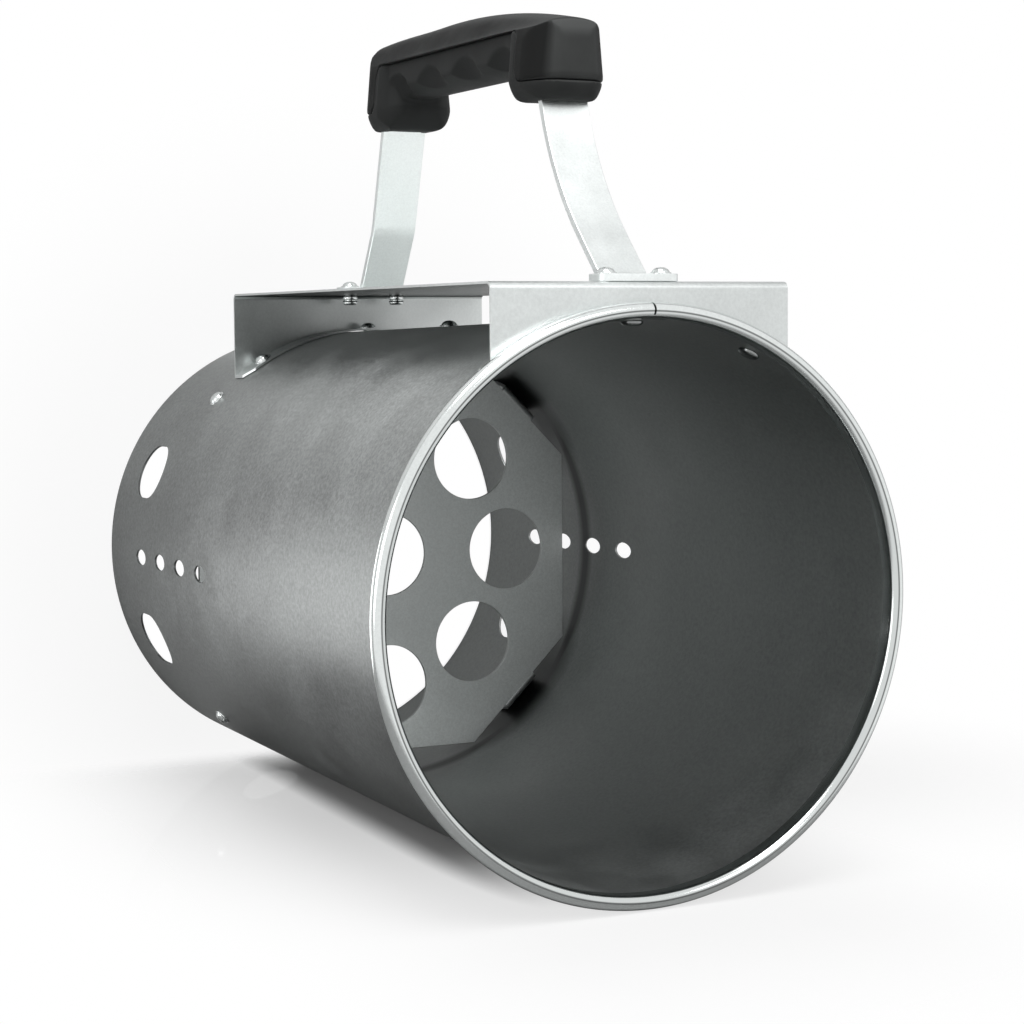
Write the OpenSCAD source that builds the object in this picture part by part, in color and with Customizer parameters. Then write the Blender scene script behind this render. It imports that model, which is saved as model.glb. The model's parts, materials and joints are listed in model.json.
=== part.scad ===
// Chimney charcoal starter, millimetres.
// The tube stands on its base edge: +Z runs up the tube axis, and the handle is on the +X side.

/* [Tube] */
// Height from the base edge to the top of the rolled rim
tube_h = 296; // [280:1:330]
// Outside diameter of the wall at the base edge
base_d = 175; // [170:1:180]
// Outside diameter of the wall under the rolled rim
rim_d = 186; // [182:1:190]
// Sheet thickness of the tube
tube_wall = 0.8; // [0.6:0.1:1.2]
// Thickness of the rolled rim bead
bead_d = 5; // [4:0.5:6]
// Gap left in the bead where the seam meets the rim
bead_gap = 1.2; // [0.6:0.2:2]
// Width of the inner lap of the axial seam
lap_w = 14; // [12:1:18]

/* [Vents] */
// Number of large vents around the base
vent_count = 8; // [4:1:10]
// Width of a large vent around the tube
vent_w = 22; // [16:1:24]
// Length of a large vent along the tube
vent_l = 28; // [24:1:32]
// Height of the large vents' centres
vent_z = 37.5; // [32:0.5:40]
// Number of short slots in each row
slot_count = 4; // [2:1:5]
// Width of a short slot around the tube
slot_w = 6; // [4:0.5:8]
// Length of a short slot along the tube
slot_l = 12; // [9:0.5:14]
// Height of the lowest slot's centre
slot_z = 42; // [36:0.5:46]
// Pitch of the slots along a row
slot_pitch = 24.8; // [22:0.2:28]

/* [Grate] */
// Height of the grate's upper face above the base edge
grate_z = 84; // [80:0.5:96]
// Sheet thickness of the grate
grate_t = 1.5; // [1:0.1:2]
// Size across the grate's long straight edges
grate_across = 157; // [150:1:158]
// Length of the grate's long straight edges
grate_edge = 75; // [70:1:78]
// Diameter of the grate's round holes
grate_hole_d = 32.6; // [26:0.2:34]
// Diameter of the circle that the outer holes are centred on
grate_ring_d = 105; // [100:1:112]
// Width of the four tabs that hold the grate
tab_w = 18; // [14:1:22]
// Length of the tabs below the grate's upper face
tab_drop = 30; // [26:1:34]
// Bend radius of the tabs, at mid sheet
tab_bend_r = 2; // [1.5:0.1:3]
// Depth of the tabs' heels, where they meet the wall, below the grate's upper face
tab_heel_drop = 12; // [10:0.5:13]
// Depth of the grate rivets below the grate's upper face
tab_rivet_drop = 21; // [18:0.5:22]

/* [Bracket] */
// Width of the handle bracket
bracket_w = 108; // [96:1:116]
// Length of the bracket along the tube, over its two walls
bracket_len = 230; // [210:1:240]
// Sheet thickness of the bracket
bracket_t = 0.8; // [0.6:0.1:1.2]
// Bend radius of the bracket's two upper corners, at mid sheet
bracket_bend_r = 2; // [1.5:0.1:4]
// Distance from the tube axis to the top of the bracket's roof
roof_x = 103.6; // [101.6:0.2:110]
// Distance from the top of the rim down to the bracket's front face
bracket_drop = 6.4; // [6:0.2:12]
// Width of the flanges that lie on the tube
flange_w = 12; // [10:0.5:16]
// Length of the cut at the flanges' free corners
flange_chamfer = 4; // [2:0.5:5]
// Distance from the bracket's sides to the outer rivets of a flange
rivet_inset = 9.5; // [7:0.5:14]

/* [Rivets] */
// Shank diameter of all rivets
shank_d = 4; // [3:0.2:4.8]
// Head diameter of the sheet rivets
head_d = 7; // [6:0.2:8]
// Head height of the sheet rivets
head_h = 2.2; // [1.4:0.1:2.6]
// Diameter of the formed tails
tail_d = 5.8; // [5.2:0.2:7]
// Height of the formed tails
tail_h = 1.6; // [1:0.1:2]
// Height of the first seam rivet between the flanges
seam_rivet_z = 144; // [120:1:160]
// Pitch of the seam rivets
seam_rivet_pitch = 68; // [50:1:75]

/* [Strap] */
// Width of the handle strap
strap_w = 17.5; // [14:0.5:20]
// Thickness of the handle strap
strap_t = 2.5; // [2:0.1:3]
// Width of the strap's two feet
foot_w = 29; // [26:0.5:34]
// Length of a foot along the tube
foot_len = 10.5; // [10:0.5:13]
// Setback of the front foot from the bracket's front face
front_foot_setback = 1.4; // [0.5:0.1:4]
// Setback of the rear foot from the bracket's back face
rear_foot_setback = 8; // [4:0.5:14]
// Distance between the two rivets of a foot
foot_rivet_pitch = 20; // [18:0.5:22]
// Lean of the rear leg's lower part from upright
rear_low_lean = 30; // [24:1:36]
// Height above the roof at which the rear leg bends
rear_knee_h = 24; // [18:1:32]
// Lean of the rear leg's upper part from upright
rear_lean = 16; // [12:0.5:20]
// Lean of the front leg's foot end from upright
front_low_lean = 44; // [38:1:46]
// Height above the roof of the middle of the front leg's curve
front_knee_h = 34; // [30:1:40]
// Lean of the front leg's upper part from upright
front_lean = 18; // [14:0.5:22]
// Radius of the front leg's long curve
front_curve_r = 110; // [60:5:120]
// Radius of the rear leg's bend, at mid thickness
rear_knee_r = 20; // [10:1:40]
// Radius of the strap's bends at its feet, at mid thickness
strap_bend_r = 4; // [3:0.5:5]
// Radius of the strap's bends inside the grip, at mid thickness
strap_run_r = 7; // [5:0.5:9]
// Rounding of the feet's corners
foot_corner_r = 3; // [1:0.5:4]

/* [Grip] */
// Height of the grip's lobes above the roof
lobe_h = 61; // [56:0.5:70]
// Height of the finger side above the bottom of the lobes
finger_rise = 11; // [8:0.5:14]
// Height of the parting line above the bottom of the lobes
parting_rise = 6.2; // [5:0.2:9]
// Height of the side crease above the bottom of the lobes
crease_rise = 24; // [21:0.5:27]
// Height of the crown above the bottom of the lobes
crown_rise = 35.2; // [32:0.2:40]
// Width of the grip
grip_w = 35; // [32:0.5:40]
// Width of the finger piece between the lobes
finger_w = 30; // [24:0.5:32]
// Length of a lobe along the tube
lobe_len = 28; // [26:0.5:32]
// Distance that each lobe reaches past its strap leg
lobe_reach = 13; // [11:0.5:15]
// Thickness of the lobes' walls towards the finger piece
lobe_inner_wall = 12.4; // [12.2:0.2:13]
// Rounding of the parting line's corners
parting_corner_r = 5; // [3:0.5:6]
// Rounding of the lobes' lower edges at the grip's ends
lobe_end_r = 5; // [2:0.5:6]
// Rounding of the lobes' long lower edges
lobe_side_r = 6; // [3:0.5:8]
// Rounding of the lobes' lower edges towards the fingers
lobe_finger_r = 8; // [4:0.5:10]
// Radius of the crown along the grip
crown_r = 420; // [300:10:800]
// Rounding of the long upper edges
grip_edge_r = 9; // [6:0.5:11]
// Rounding of the grip's upright corners
grip_corner_r = 12; // [8:0.5:13]
// Rounding of the grip's upper ends
grip_nose_r = 15; // [8:0.5:17]
// Radius of the belly under the fingers, across the grip
belly_r = 30; // [22:1:60]
// Number of finger hollows along each side
finger_count = 4; // [3:1:4]
// Pitch of the finger hollows
finger_pitch = 29.5; // [26:0.5:32]
// Radius of the finger hollows
finger_r = 16; // [14:0.5:18]
// Distance of the finger hollows' centres outside the finger piece
finger_offset = 8; // [6:0.5:10]
// Distance from the top of the finger hollows up to the crease
finger_margin = 4; // [3:0.5:7]

/* [Fits] */
// Clearance between a shank and its hole
bore_clear = 0.1; // [0.05:0.05:0.2]
// Gap between curved sheets that lie on each other
sheet_gap = 0.3; // [0.2:0.05:0.4]
// Gap between a formed tail and the hollow wall it sits in
seat_gap = 0.1; // [0.08:0.02:0.2]
// Gap around the strap and along the parting line of the grip
grip_gap = 0.3; // [0.2:0.05:0.4]

/* [Hidden] */
$fn = 96;
fine_fn = 720;
cut = 10;
arc_reach = 1.0002;
// Distance by which a rounding starts outside the face that it rounds
edge_cross = 0.2;

base_r = base_d / 2;
rim_r = rim_d / 2;
rim_z = tube_h - bead_d / 2;
wall_lean = atan((rim_r - base_r) / rim_z);
// Overlap of the bead with the inner face of the wall
bead_bite = 0.15;
bead_r = rim_r - tube_wall - bead_bite + bead_d / 2;

// Radius of the wall's outer face at height z
function wall_r(z) = base_r + (rim_r - base_r) * z / rim_z;

bracket_front_z = tube_h - bracket_drop;
bracket_back_z = bracket_front_z - bracket_len;
front_rivet_z = bracket_front_z - bracket_t - flange_w / 2 - head_h / 2;
rear_rivet_z = bracket_back_z + bracket_t + flange_w / 2 + head_h / 2;

// Angles of a flange's three rivets at height z
function flange_rivet_angles(z) =
  let (outer = asin((bracket_w / 2 - rivet_inset) / wall_r(z)))
  [-outer, 0, outer];

seam_rivet_heights = [seam_rivet_z, seam_rivet_z + seam_rivet_pitch];

grate_a = grate_across / 2;
grate_b = grate_edge / 2;
tab_angles = [45, 135, 225, 315];
tab_foot_z = grate_z - tab_drop;
tab_heel_z = grate_z - tab_heel_drop;
grate_rivet_z = grate_z - tab_rivet_drop;
tab_wall_r = wall_r(tab_foot_z) - tube_wall - sheet_gap;
tab_r = sqrt(tab_wall_r * tab_wall_r - tab_w * tab_w / 4);

strap_x = roof_x + strap_t / 2;
lobe_x = roof_x + lobe_h;
crease_x = lobe_x + crease_rise;
parting_x = lobe_x + parting_rise;
finger_x = lobe_x + finger_rise;
crown_x = lobe_x + crown_rise;
strap_run_x = crease_x - grip_gap - strap_t / 2;

rear_foot_z = bracket_back_z + rear_foot_setback;
front_foot_z = bracket_front_z - front_foot_setback;
rear_foot_rivet_z = rear_foot_z + foot_len / 2;
front_foot_rivet_z = front_foot_z - foot_len / 2;
rear_ankle_z = rear_foot_z + foot_len + strap_bend_r * tan((90 - rear_low_lean) / 2);
front_ankle_z = front_foot_z - foot_len - strap_bend_r * tan((90 - front_low_lean) / 2);
rear_knee_x = roof_x + rear_knee_h;
rear_knee_z = rear_ankle_z + (rear_knee_x - strap_x) * tan(rear_low_lean);
rear_top_z = rear_knee_z + (strap_run_x - rear_knee_x) * tan(rear_lean);
front_knee_x = roof_x + front_knee_h;
front_knee_z = front_ankle_z - (front_knee_x - strap_x) * tan(front_low_lean);
front_top_z = front_knee_z - (strap_run_x - front_knee_x) * tan(front_lean);

// Mid line of the strap as [height along the tube, distance from the axis, bend radius]
strap_path = [
  [rear_foot_z, strap_x, 0],
  [rear_ankle_z, strap_x, strap_bend_r],
  [rear_knee_z, rear_knee_x, rear_knee_r],
  [rear_top_z, strap_run_x, strap_run_r],
  [front_top_z, strap_run_x, strap_run_r],
  [front_knee_z, front_knee_x, front_curve_r],
  [front_ankle_z, strap_x, strap_bend_r],
  [front_foot_z, strap_x, 0]
];

// Where the legs pass the bottom of the lobes
rear_leg_z = rear_top_z - (strap_run_x - lobe_x) * tan(rear_lean);
front_leg_z = front_top_z + (strap_run_x - lobe_x) * tan(front_lean);
grip_rear_z = rear_leg_z - lobe_reach + strap_t;
grip_front_z = front_leg_z + lobe_reach - strap_t;
rear_lobe_z = grip_rear_z + lobe_len;
front_lobe_z = grip_front_z - lobe_len;
rear_split_z = rear_lobe_z - lobe_inner_wall;
front_split_z = front_lobe_z + lobe_inner_wall;
crown_z = (grip_rear_z + grip_front_z) / 2 - grip_w / 4;
finger_mid_z = (rear_lobe_z + front_lobe_z) / 2;
finger_centre_y = finger_w / 2 + finger_offset;
finger_centre_x = crease_x - finger_margin - sqrt(finger_r * finger_r - finger_offset * finger_offset);

// Flat shapes

module obround(w, l) {
  square([l - w, w], center = true);
  for (side = [-1, 1]) translate([side * (l - w) / 2, 0]) circle(d = w);
}

module rounded_rectangle(size, r) {
  square([size.x - 2 * r, size.y], center = true);
  square([size.x, size.y - 2 * r], center = true);
  for (u = [-1, 1], v = [-1, 1])
    translate([u * (size.x / 2 - r), v * (size.y / 2 - r)]) circle(r = r);
}

// Corners of a path or an outline, given as points of [x, y, radius]
function flat(p) = [p.x, p.y];
function heading(a, b) = atan2(b.y - a.y, b.x - a.x);
function turn(a, b, c) = (heading(b, c) - heading(a, b) + 540) % 360 - 180;
function tangent(a, b, c) = b.z * tan(abs(turn(a, b, c)) / 2);
function along(angle, d) = d * [cos(angle), sin(angle)];
function arc_centre(a, b, c) =
  flat(b) - along(heading(a, b), tangent(a, b, c)) + along(heading(a, b) + sign(turn(a, b, c)) * 90, b.z);

// Waste between a corner and its arc, taken off outside corners and left in inside ones;
// the arc reaches just past the lines that it joins
module corner_cut(a, b, c) {
  d = tangent(a, b, c);
  corner = [flat(b) - along(heading(a, b), d), flat(b), flat(b) + along(heading(b, c), d)];
  if (turn(a, b, c) > 0)
    difference() {
      polygon(corner);
      translate(arc_centre(a, b, c)) circle(r = arc_reach * b.z, $fn = fine_fn);
    }
  else
    intersection() {
      polygon(corner);
      translate(arc_centre(a, b, c)) circle(r = arc_reach * b.z, $fn = fine_fn);
    }
}

// Ends of the chord across an inside corner, or the corner itself
function corner_points(a, b, c) =
  b.z > 0 && turn(a, b, c) < 0
    ? [
        flat(b) - along(heading(a, b), tangent(a, b, c)),
        flat(b) + along(heading(b, c), tangent(a, b, c))
      ]
    : [flat(b)];

// Closed outline, counter-clockwise, with each corner rounded by its own radius
module rounded_outline(points) {
  n = len(points);
  before = [for (i = [0 : n - 1]) points[(i + n - 1) % n]];
  after = [for (i = [0 : n - 1]) points[(i + 1) % n]];
  difference() {
    polygon([for (i = [0 : n - 1]) each corner_points(before[i], points[i], after[i])]);
    for (i = [0 : n - 1]) if (points[i].z > 0) corner_cut(before[i], points[i], after[i]);
  }
}

// Point beside a bent path, at distance d to its left, with the bend's radius on that side
function path_side(path, i, d) =
  let (last = len(path) - 1)
  let (start = heading(path[max(i - 1, 0)], path[max(i, 1)]))
  let (bend = i == 0 || i == last ? 0 : turn(path[i - 1], path[i], path[i + 1]))
  let (side = flat(path[i]) + along(start + bend / 2 + 90, d / cos(bend / 2)))
  [side.x, side.y, bend == 0 ? 0 : path[i].z - sign(bend) * d];

// Sheet of thickness t bent along a path
module bent_strip(path, t) {
  last = len(path) - 1;
  rounded_outline(concat(
    [for (i = [0 : last]) path_side(path, i, -t / 2)],
    [for (i = [0 : last]) path_side(path, last - i, t / 2)]
  ));
}

// Placing

// A flat shape drawn with x up the tube and y away from its axis, made w wide
module side_view(w) {
  rotate([-90, -90, 0]) translate([0, 0, -w / 2]) linear_extrude(w) children();
}

// A flat shape drawn with x up the tube and y across, from distance x0 to x1 from the axis
module top_view(x0, x1) {
  translate([x0, 0, 0]) rotate([0, 90, 0]) rotate([0, 0, 180]) linear_extrude(x1 - x0) children();
}

// On the tube's outer face at this angle and height, with +Z pointing out of the wall
module on_wall(angle, z) {
  rotate([0, 0, angle]) translate([wall_r(z), 0, z]) rotate([0, 90 + wall_lean, 0]) children();
}

// On the bracket's roof, with +Z pointing away from the tube
module on_roof(y, z) {
  translate([roof_x, y, z]) rotate([0, 90, 0]) children();
}

// Solid cone of the tube's outer face, grown by extra, starting its turn opposite the handle
module wall_cone(extra, z0, z1) {
  translate([0, 0, z0]) rotate([0, 0, 180])
    cylinder(h = z1 - z0, r1 = wall_r(z0) + extra, r2 = wall_r(z1) + extra);
}

// Rivets and their holes

module dome(d, h) {
  ball_r = (d * d / 4 + h * h) / (2 * h);
  intersection() {
    translate([0, 0, h - ball_r]) sphere(r = ball_r);
    cylinder(h = h, d = d + 1);
  }
}

// Rivet through a stack of sheets from z = inner to z = outer
module rivet(inner, outer) {
  translate([0, 0, inner]) cylinder(h = outer - inner, d = shank_d);
  translate([0, 0, outer]) dome(head_d, head_h);
  translate([0, 0, inner]) mirror([0, 0, 1]) dome(tail_d, tail_h);
}

module rivet_hole() {
  cylinder(h = 2 * cut, d = shank_d + 2 * bore_clear, center = true);
}

module flange_rivet_holes(z) {
  for (angle = flange_rivet_angles(z)) on_wall(angle, z) rivet_hole();
}

module grate_rivet_holes() {
  for (angle = tab_angles) on_wall(angle, grate_rivet_z) rivet_hole();
}

module foot_rivet_holes() {
  for (z = [rear_foot_rivet_z, front_foot_rivet_z], side = [-1, 1])
    on_roof(side * foot_rivet_pitch / 2, z) rivet_hole();
}

// Body tube

module tube_wall_sheet() {
  difference() {
    wall_cone(0, 0, rim_z);
    wall_cone(-tube_wall, -cut, rim_z + cut);
  }
}

module rim_bead() {
  difference() {
    translate([0, 0, rim_z]) rotate_extrude() translate([bead_r, 0]) circle(d = bead_d);
    translate([rim_r, -bead_gap / 2, rim_z - bead_d]) cube([2 * bead_d, bead_gap, 2 * bead_d]);
  }
}

module seam_lap() {
  intersection() {
    difference() {
      wall_cone(-tube_wall / 2, 0, rim_z - bead_d);
      wall_cone(-2 * tube_wall, -cut, rim_z);
    }
    translate([0, -lap_w / 2, 0]) cube([2 * rim_r, lap_w, tube_h]);
  }
}

module vents() {
  for (i = [0 : vent_count - 1])
    on_wall((i + 0.5) * 360 / vent_count, vent_z)
      linear_extrude(2 * cut, center = true) obround(vent_w, vent_l);
}

module slot_rows() {
  for (angle = [90, 270], i = [0 : slot_count - 1])
    on_wall(angle, slot_z + i * slot_pitch)
      linear_extrude(2 * cut, center = true) obround(slot_w, slot_l);
}

module body_tube() {
  color([0.56, 0.57, 0.57]) difference() {
    union() {
      tube_wall_sheet();
      rim_bead();
      seam_lap();
    }
    vents();
    slot_rows();
    grate_rivet_holes();
    flange_rivet_holes(rear_rivet_z);
    flange_rivet_holes(front_rivet_z);
    for (z = seam_rivet_heights) on_wall(0, z) rivet_hole();
  }
}

// Grate

module grate_plate() {
  a = grate_a;
  b = grate_b;
  translate([0, 0, grate_z - grate_t]) linear_extrude(grate_t) difference() {
    polygon([[a, -b], [a, b], [b, a], [-b, a], [-a, b], [-a, -b], [-b, -a], [b, -a]]);
    circle(d = grate_hole_d);
    for (i = [0 : 7]) rotate(i * 45) translate([grate_ring_d / 2, 0]) circle(d = grate_hole_d);
  }
}

module grate_tab() {
  edge_r = (grate_a + grate_b) / sqrt(2);
  mid_z = grate_z - grate_t / 2;
  mid_r = tab_r - grate_t / 2;
  path = [
    [mid_z, edge_r - 2 * grate_t, 0],
    [mid_z, edge_r + tab_bend_r, tab_bend_r],
    [tab_heel_z, mid_r, 2 * tab_bend_r],
    [tab_foot_z, mid_r, 0]
  ];
  side_view(tab_w) bent_strip(path, grate_t);
}

module grate() {
  color([0.5, 0.51, 0.5]) difference() {
    union() {
      grate_plate();
      for (angle = tab_angles) rotate([0, 0, angle]) grate_tab();
    }
    grate_rivet_holes();
  }
}

module grate_rivet(i) {
  color("silver") on_wall(tab_angles[i], grate_rivet_z)
    rivet(tab_r - grate_t - seat_gap - wall_r(grate_rivet_z), 0);
}

// Handle bracket

module bracket_channel() {
  front = bracket_front_z - bracket_t / 2;
  back = bracket_back_z + bracket_t / 2;
  roof = roof_x - bracket_t / 2;
  path = [[back, 0, 0], [back, roof, bracket_bend_r], [front, roof, bracket_bend_r], [front, 0, 0]];
  difference() {
    side_view(bracket_w) bent_strip(path, bracket_t);
    wall_cone(sheet_gap + bracket_t / 2, -cut, tube_h + cut);
  }
}

// Flange on the tube from its bend at height bend_z to its free edge, whose corners are cut off
module bracket_flange(bend_z, free_z) {
  z0 = min(bend_z, free_z);
  z1 = max(bend_z, free_z);
  half = bracket_w / 2;
  shoulder_z = free_z + sign(bend_z - free_z) * flange_chamfer;
  intersection() {
    difference() {
      wall_cone(sheet_gap + bracket_t, z0, z1);
      wall_cone(sheet_gap, z0 - cut, z1 + cut);
    }
    top_view(0, roof_x) polygon([
      [bend_z, half], [bend_z, -half], [shoulder_z, -half], [free_z, flange_chamfer - half],
      [free_z, half - flange_chamfer], [shoulder_z, half]
    ]);
  }
}

module handle_bracket() {
  color([0.78, 0.79, 0.79]) difference() {
    union() {
      bracket_channel();
      bracket_flange(bracket_back_z, bracket_back_z + bracket_t + flange_w);
      bracket_flange(bracket_front_z, bracket_front_z - bracket_t - flange_w);
    }
    flange_rivet_holes(rear_rivet_z);
    flange_rivet_holes(front_rivet_z);
    foot_rivet_holes();
  }
}

module bracket_rivet(i, z) {
  angle = flange_rivet_angles(z)[i];
  layers = angle == 0 ? 2 : 1;
  color("silver") on_wall(angle, z)
    rivet(-layers * tube_wall - seat_gap, sheet_gap + bracket_t);
}

module seam_rivet(i) {
  color("silver") on_wall(0, seam_rivet_heights[i]) rivet(-2 * tube_wall - seat_gap, 0);
}

// Handle strap

module strap_bar(grow) {
  side_view(strap_w + 2 * grow) bent_strip(strap_path, strap_t + 2 * grow);
}

module strap_foot(middle_z) {
  top_view(roof_x, roof_x + strap_t) translate([middle_z, 0])
    rounded_rectangle([foot_len, foot_w], foot_corner_r);
}

module handle_strap() {
  color([0.85, 0.86, 0.86]) difference() {
    union() {
      strap_bar(0);
      strap_foot(rear_foot_rivet_z);
      strap_foot(front_foot_rivet_z);
    }
    foot_rivet_holes();
  }
}

module foot_rivet(side, z) {
  color("silver") on_roof(side * foot_rivet_pitch / 2, z) rivet(-bracket_t, strap_t);
}

// Grip

// Rounded upright column with the grip's outline seen from above
module grip_column() {
  top_view(lobe_x - cut, crown_x + cut) translate([(grip_rear_z + grip_front_z) / 2, 0])
    rounded_rectangle([grip_front_z - grip_rear_z, grip_w + 2 * edge_cross], grip_corner_r);
}

// Bar with rounded long edges, swept along the crown
module crown_sweep() {
  depth = 2 * crown_rise;
  sweep = 40;
  half = grip_w / 2;
  translate([crown_x - crown_r, 0, crown_z]) rotate([90, 0, 0]) rotate([0, 0, -sweep / 2])
    rotate_extrude(angle = sweep, $fn = fine_fn)
      rounded_outline([
        [crown_r - depth, -half, 0],
        [crown_r, -half, grip_edge_r],
        [crown_r, half, grip_edge_r],
        [crown_r - depth, half, 0]
      ]);
}

// Outer form shared by both pieces of the grip
module grip_form() {
  intersection() {
    grip_column();
    crown_sweep();
  }
}

module grip_upper() {
  profile = [
    [grip_rear_z, parting_x + grip_gap, 0],
    [rear_split_z - grip_gap, parting_x + grip_gap, parting_corner_r],
    [rear_split_z - grip_gap, crease_x + grip_gap, parting_corner_r + grip_gap],
    [front_split_z + grip_gap, crease_x + grip_gap, parting_corner_r + grip_gap],
    [front_split_z + grip_gap, parting_x + grip_gap, parting_corner_r],
    [grip_front_z, parting_x + grip_gap, 0],
    [grip_front_z, crown_x + edge_cross, grip_nose_r],
    [grip_rear_z, crown_x + edge_cross, grip_nose_r]
  ];
  color([0.13, 0.13, 0.13]) difference() {
    intersection() {
      side_view(grip_w + cut) rounded_outline(profile);
      grip_form();
    }
    strap_bar(grip_gap);
  }
}

module finger_piece_profile() {
  rounded_outline([
    [grip_rear_z, parting_x, 0],
    [grip_rear_z, lobe_x, lobe_end_r],
    [rear_lobe_z, lobe_x, lobe_finger_r],
    [rear_lobe_z, finger_x, 0],
    [front_lobe_z, finger_x, 0],
    [front_lobe_z, lobe_x, lobe_finger_r],
    [grip_front_z, lobe_x, lobe_end_r],
    [grip_front_z, parting_x, 0],
    [front_split_z, parting_x, parting_corner_r + grip_gap],
    [front_split_z, crease_x, parting_corner_r],
    [rear_split_z, crease_x, parting_corner_r],
    [rear_split_z, parting_x, parting_corner_r + grip_gap]
  ]);
}

// Upright columns of the two lobes, rounded towards the fingers
module lobe_columns() {
  length = lobe_len + cut;
  for (z = [rear_lobe_z + edge_cross - length / 2, front_lobe_z - edge_cross + length / 2])
    top_view(lobe_x - 2 * cut, crease_x + 2 * cut) translate([z, 0])
      rounded_rectangle([length, grip_w + 2 * edge_cross], grip_corner_r);
}

// Space around the grip between its lobes, below the crease
module finger_space() {
  difference() {
    translate([lobe_x - cut, -grip_w, rear_lobe_z - grip_corner_r])
      cube([crease_x - lobe_x + 2 * cut, 2 * grip_w, front_lobe_z - rear_lobe_z + 2 * grip_corner_r]);
    lobe_columns();
  }
}

// Bar between the lobes with a belly that curves across the grip
module finger_bar() {
  intersection() {
    translate([finger_x + belly_r, 0, rear_lobe_z - cut])
      cylinder(h = front_lobe_z - rear_lobe_z + 2 * cut, r = belly_r);
    translate([finger_x - cut, -finger_w / 2, rear_lobe_z - cut])
      cube([crease_x - finger_x + 2 * cut, finger_w, front_lobe_z - rear_lobe_z + 2 * cut]);
  }
}

module finger_hollows() {
  for (i = [0 : finger_count - 1], side = [-1, 1])
    translate([
      finger_centre_x,
      side * finger_centre_y,
      finger_mid_z + (i - (finger_count - 1) / 2) * finger_pitch
    ]) sphere(r = finger_r);
}

// Waste between the lobes, around the finger bar and in its hollows
module finger_waste() {
  intersection() {
    finger_space();
    union() {
      difference() {
        finger_space();
        finger_bar();
      }
      finger_hollows();
    }
  }
}

// Bar with rounded long lower edges
module lobe_section() {
  half = grip_w / 2 + edge_cross;
  bottom = lobe_x - edge_cross;
  translate([0, 0, grip_rear_z - cut]) linear_extrude(grip_front_z - grip_rear_z + 2 * cut)
    rounded_outline([
      [crown_x, half, 0],
      [bottom, half, lobe_side_r],
      [bottom, -half, lobe_side_r],
      [crown_x, -half, 0]
    ]);
}

module grip_lower() {
  color([0.1, 0.1, 0.1]) difference() {
    intersection() {
      side_view(grip_w + cut) finger_piece_profile();
      grip_form();
      lobe_section();
    }
    finger_waste();
    strap_bar(grip_gap);
  }
}

body_tube();
grate();
for (i = [0 : 3])
  grate_rivet(i);
handle_bracket();
for (i = [0 : 2]) {
  bracket_rivet(i, rear_rivet_z);
  bracket_rivet(i, front_rivet_z);
}
for (i = [0 : 1])
  seam_rivet(i);
handle_strap();
for (i = [0 : 1]) {
  side = 2 * i - 1;
  foot_rivet(side, rear_foot_rivet_z);
  foot_rivet(side, front_foot_rivet_z);
}
grip_upper();
grip_lower();
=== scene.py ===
"""Chimney charcoal starter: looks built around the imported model, in metres."""

import json
import math
from functools import reduce

import bmesh
import bpy
from mathutils import Matrix, Vector

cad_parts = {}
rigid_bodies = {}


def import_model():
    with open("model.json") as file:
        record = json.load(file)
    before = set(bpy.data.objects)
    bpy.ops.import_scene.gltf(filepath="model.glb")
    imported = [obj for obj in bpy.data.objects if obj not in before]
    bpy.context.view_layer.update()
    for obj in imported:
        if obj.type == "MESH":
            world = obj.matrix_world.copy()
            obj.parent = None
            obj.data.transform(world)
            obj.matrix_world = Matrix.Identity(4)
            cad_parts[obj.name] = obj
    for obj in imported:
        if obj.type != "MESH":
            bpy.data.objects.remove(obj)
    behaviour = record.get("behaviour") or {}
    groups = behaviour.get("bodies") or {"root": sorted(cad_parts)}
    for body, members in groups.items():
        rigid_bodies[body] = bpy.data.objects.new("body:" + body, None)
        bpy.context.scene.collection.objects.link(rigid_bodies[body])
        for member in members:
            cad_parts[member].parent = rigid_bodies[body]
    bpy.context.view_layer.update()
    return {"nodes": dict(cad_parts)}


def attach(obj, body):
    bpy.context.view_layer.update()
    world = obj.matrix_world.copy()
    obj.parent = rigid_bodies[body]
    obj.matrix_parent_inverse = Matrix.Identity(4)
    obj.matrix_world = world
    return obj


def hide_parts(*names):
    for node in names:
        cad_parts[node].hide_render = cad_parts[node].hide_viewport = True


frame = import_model()
scene = bpy.context.scene
mm = 0.001

# Sizes of the tube, as in the part's source
TUBE_H = 296 * mm
BASE_R = 87.5 * mm
RIM_R = 93 * mm
WALL = 0.8 * mm
BEAD_R = 2.5 * mm
BEAD_CENTRE_R = 94.52 * mm
RIM_Z = TUBE_H - BEAD_R
LAP_W = 14 * mm
WALL_LEAN = math.atan((RIM_R - BASE_R) / RIM_Z)

# Height of the grate's upper face, and places of the rivets
GRATE_TOP = 84 * mm
GRATE_RIVET_Z = 63 * mm
REAR_FLANGE_Z = 67.5 * mm
FRONT_FLANGE_Z = 281.7 * mm
FLANGE_RIVET_Y = 44.5 * mm
SEAM_RIVET_Z = (144 * mm, 212 * mm)
FOOT_RIVET_Y = 10 * mm
FOOT_RIVET_Z = (72.85 * mm, 282.95 * mm)
ROOF_X = 103.6 * mm
STRAP_T = 2.5 * mm


def wall_r(z):
    """Radius of the tube's outer face at height z."""
    return BASE_R + (RIM_R - BASE_R) * z / RIM_Z


# Object helpers

def link_piece(name, data):
    """Adds a new object to the scene: a piece, a floor, a lamp or the camera."""
    made = bpy.data.objects.new(name, data)
    scene.collection.objects.link(made)
    return made


def evaluated_mesh(piece):
    """Applies all modifiers of a piece to its mesh."""
    graph = bpy.context.evaluated_depsgraph_get()
    graph.update()
    mesh = bpy.data.meshes.new_from_object(piece.evaluated_get(graph))
    piece.modifiers.clear()
    piece.data = mesh
    return mesh


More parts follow.
